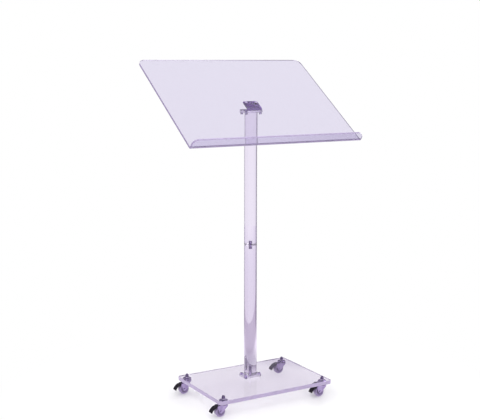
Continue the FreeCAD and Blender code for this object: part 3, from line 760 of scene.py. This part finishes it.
def make_levers(look):
    """Black pedals with softened edges and grip ribs across them."""
    pin_to_tip, over_pin = Vector((27, 0, 22)) * MM, Vector((-0.4, 0, 2.88)) * MM
    bulge, tip_skin = 7.2 * MM, 2.4 * MM
    half, thin, full, around = 9.5 * MM, 0.55 * MM, 0.7 * MM, 12
    rib = [point(-half), circle(thin, -half + 0.3 * MM, around),
           circle(full, -half + 0.9 * MM, around), circle(full, half - 0.9 * MM, around),
           circle(thin, half - 0.3 * MM, around), point(half)]
    for name in CASTERS:
        refined("brake_lever_" + name, "pedal_" + name, look, bevel=0.55 * MM, segments=3)
        low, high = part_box("brake_pin_" + name)
        # The pedal's outer face is an arc from over the pin to the pedal's tip.
        pin = (low + high) / 2
        tip = pin - pin_to_tip
        away = Vector((tip.z - pin.z, 0, pin.x - tip.x)).normalized()
        start, end = pin + over_pin, tip + away * tip_skin
        middle = (pin + tip) * 0.5 + away * bulge
        work = bmesh.new()
        for share in (0.46, 0.56, 0.66, 0.76, 0.86):
            loft(work, rib, sideways(arc_through(start, middle, end, share)))
        new_object("pedal_ribs_" + name, to_mesh(work, "pedal_ribs_" + name), "brake_" + name,
                   look)


def make_forks(look):
    """Pressed forks with their axles, axle nuts and brake rivets."""
    for name in CASTERS:
        refined("fork_" + name, "fork_pressing_" + name, look, bevel=0.5 * MM, segments=3)
        refined("axle_" + name, "axle_bolt_" + name, look, bevel=0.45 * MM, segments=3)
        refined("brake_pin_" + name, "brake_rivet_" + name, look, bevel=0.35 * MM, segments=3)
        low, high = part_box("axle_nut_" + name)
        centre = (low + high) / 2
        axle_radius, thick = 2.5 * MM, high.y - low.y
        flats = (high.x - low.x) * math.cos(math.pi / 6)
        turned_piece("axle_nut_" + name, "axle_hex_nut_" + name, look,
                     [sideways(centre) @ Matrix.Translation((0, 0, -thick / 2))],
                     hex_nut(flats, 0.0, thick, axle_radius))


# ------------------------------------------------------------------ floor and whole

def make_plain_nodes(looks):
    """CAD nodes that keep their shape get their finish."""
    for name, thing in NODES.items():
        thing.data.materials.clear()
        thing.data.materials.append(looks[SLOT[name]])


def make_floor():
    """White for the camera. Through the acrylic the table shows as a glow with painted shade,
    darker up to the backdrop.
    """
    work = bmesh.new()
    bmesh.ops.create_circle(work, cap_ends=True, segments=96, radius=FLOOR_RADIUS)
    mesh = to_mesh(work, "floor")
    floor = bpy.data.objects.new("floor", mesh)
    bpy.context.scene.collection.objects.link(floor)
    made, tree, shader = material("floor_white")
    link = tree.links.new
    shader.inputs["Roughness"].default_value = 0.14
    shader.inputs["Specular IOR Level"].default_value = 0.3
    place = coordinates(tree)
    cloud = noise(tree, place, 0.8, detail=2.0)
    link(mixed(tree, cloud, (0.95, 0.95, 0.95), (0.97, 0.97, 0.97)), shader.inputs["Base Color"])
    away = tree.nodes.new("ShaderNodeVectorMath")
    away.operation = "LENGTH"
    link(place, away.inputs[0])
    away = away.outputs["Value"]

    # What shows through the acrylic, in brightness over GLOW, by the way to the backdrop in 5 m:
    # painted shade, darkest on the stretch of table short of the backdrop.
    reach = along(tree, place, (math.sin(BACKDROP_TURN) / 5, math.cos(BACKDROP_TURN) / 5, 0))
    table_shade = ramp(tree, reach, (
        (0.055, (0.95, 0.93, 0.97)), (0.070, (0.78, 0.75, 0.82)), (0.090, (0.70, 0.66, 0.75)),
        (0.110, (0.48, 0.43, 0.53)), (0.206, (0.49, 0.44, 0.54)), (0.210, (0.67, 0.64, 0.71)),
        (0.50, (0.69, 0.67, 0.74)), (0.80, (0.79, 0.78, 0.81))))
    sides = mixed(tree, spread(tree, away, 0.7, 1.1, 0, 1), WHITE, side_shade(tree, place))
    path = tree.nodes.new("ShaderNodeLightPath")
    seen = path.outputs["Is Camera Ray"]
    glow = tree.nodes.new("ShaderNodeEmission")
    glow.inputs["Strength"].default_value = GLOW
    link(mixed(tree, seen, multiplied(tree, table_shade, sides), (1 / GLOW,) * 3), glow.inputs["Color"])

    # Near the object the table is lit and mirrors a little, far off it only glows.
    share = tree.nodes.new("ShaderNodeMix")
    link(seen, share.inputs["Factor"])
    link(spread(tree, away, 0.25, 0.45, 0.6, 1), share.inputs["A"])
    link(spread(tree, away, 0.45, 1.0, 0, 1), share.inputs["B"])
    fade = tree.nodes.new("ShaderNodeMixShader")
    link(share.outputs["Result"], fade.inputs["Fac"])
    link(shader.outputs[0], fade.inputs[1])
    link(glow.outputs[0], fade.inputs[2])
    link(fade.outputs[0], tree.nodes["Material Output"].inputs["Surface"])
    mesh.materials.append(made)


def main():
    """View and light, then materials and pieces from the panel down to the casters."""
    make_camera()
    make_world()
    area_light("key", (-2.4, -2.6, 3.4), (0, 0, 0.9), (1.6, 1.6), 40)
    area_light("rim", (2.8, 2.0, 2.6), (0, 0, 0.8), (1.2, 1.8), 25)
    looks = {
        "tinted_acrylic": acrylic("acrylic_pad", (0.84, 0.80, 0.93), 0.05, (0.72, 0.64, 0.84)),
        "bracket_metal": metal("bracket_violet", (0.20, 0.06, 0.42), (0.26, 0.11, 0.48), 0.34),
        "screw_steel": metal("screw_steel", (0.50, 0.42, 0.64), (0.62, 0.55, 0.74), 0.2),
        "plated_steel": metal("plated_steel", (0.30, 0.23, 0.42), (0.44, 0.36, 0.57), 0.16),
        "wheel_tread": plastic("wheel_tread", (0.25, 0.19, 0.35), (0.33, 0.26, 0.44), 0.3),
        "wheel_hub": plastic("wheel_hub", (0.20, 0.15, 0.29), (0.26, 0.20, 0.36), 0.4),
        "lever_plastic": plastic("lever_black", (0.006, 0.004, 0.009), (0.014, 0.011, 0.02), 0.42,
                                 shine=0.22),
    }
    make_plain_nodes(looks)
    make_floor()
    panel = acrylic("acrylic_panel", (0.77, 0.735, 0.85), 0.30, (0.50, 0.42, 0.62))
    panel_rim = acrylic_rim("acrylic_panel_rim", (0.52, 0.43, 0.68))
    # Painted shade: the rod is darkest from about 96 to 132 mm over the floor, fading back to its
    # tint by 190 mm.
    rod_tint, rod_painted_shade = (0.88, 0.83, 0.93), (0.56, 0.52, 0.62)
    rod = acrylic("acrylic_rod", rod_tint, 0.10, (0.93, 0.90, 0.95),
                  foot=((0.085, rod_tint), (0.096, rod_painted_shade),
                        (0.132, rod_painted_shade), (0.190, rod_tint)))
    plate = acrylic("acrylic_plate", (0.97, 0.94, 1.0), 0.40, (0.62, 0.54, 0.70))
    plate_rim = acrylic_rim("acrylic_plate_rim", (0.60, 0.50, 0.75))
    # Painted shade: the bracket's cut edges are coloured far darker than its faces, for the dark
    # lines along them.
    bracket_rim_shade = metal("bracket_rim_shade", (0.09, 0.06, 0.16), (0.14, 0.10, 0.22), 0.4)
    refined("reading_panel", "panel_sheet", panel, bevel=0.7 * MM,
            rim=panel_rim, thick=PANEL_THICK, bends=True)
    refined("base_plate", "plate_slab", plate, bevel=0.25 * MM,
            rim=plate_rim, thick=PLATE_THICK)
    pad_rim = acrylic_rim("acrylic_pad_rim", (0.80, 0.73, 0.90), clear=0.5)
    for node, lift in (("foot_flange", GAP), ("head_flange", 0.0)):
        refined(node, node + "_pad", looks["tinted_acrylic"], bevel=0.6 * MM, lift=lift,
                rim=pad_rim, thick=FLANGE_THICK)
    make_rods(rod, acrylic_rim("acrylic_rod_end", (0.92, 0.89, 0.96), clear=0.2))
    refined("head_bracket", "bracket_pressing", looks["bracket_metal"], bevel=0.5 * MM, segments=3,
            rim=bracket_rim_shade, thick=BRACKET_THICK)
    steel, plated = looks["screw_steel"], looks["plated_steel"]
    make_screws(steel, metal("bolt_bright", (0.72, 0.66, 0.82), (0.80, 0.75, 0.88), 0.3))
    make_panel_fasteners(steel)
    for node in ("head_washers", "panel_washers"):
        refined(node, node + "_flat", steel, bevel=0.25 * MM)
    bright = metal("washer_bright", (0.66, 0.58, 0.78), (0.76, 0.70, 0.86), 0.4)
    refined("stem_washers", "stem_washers_flat", bright, bevel=0.4 * MM, lift=GAP)
    make_caster_mounts(plated, metal("nut_dark", (0.15, 0.11, 0.22), (0.24, 0.19, 0.33), 0.2))
    make_forks(plated)
    make_wheels(looks["wheel_tread"], looks["wheel_hub"])
    make_levers(looks["lever_plastic"])


main()
scene = bpy.context.scene
scene.view_settings.view_transform = "Standard"
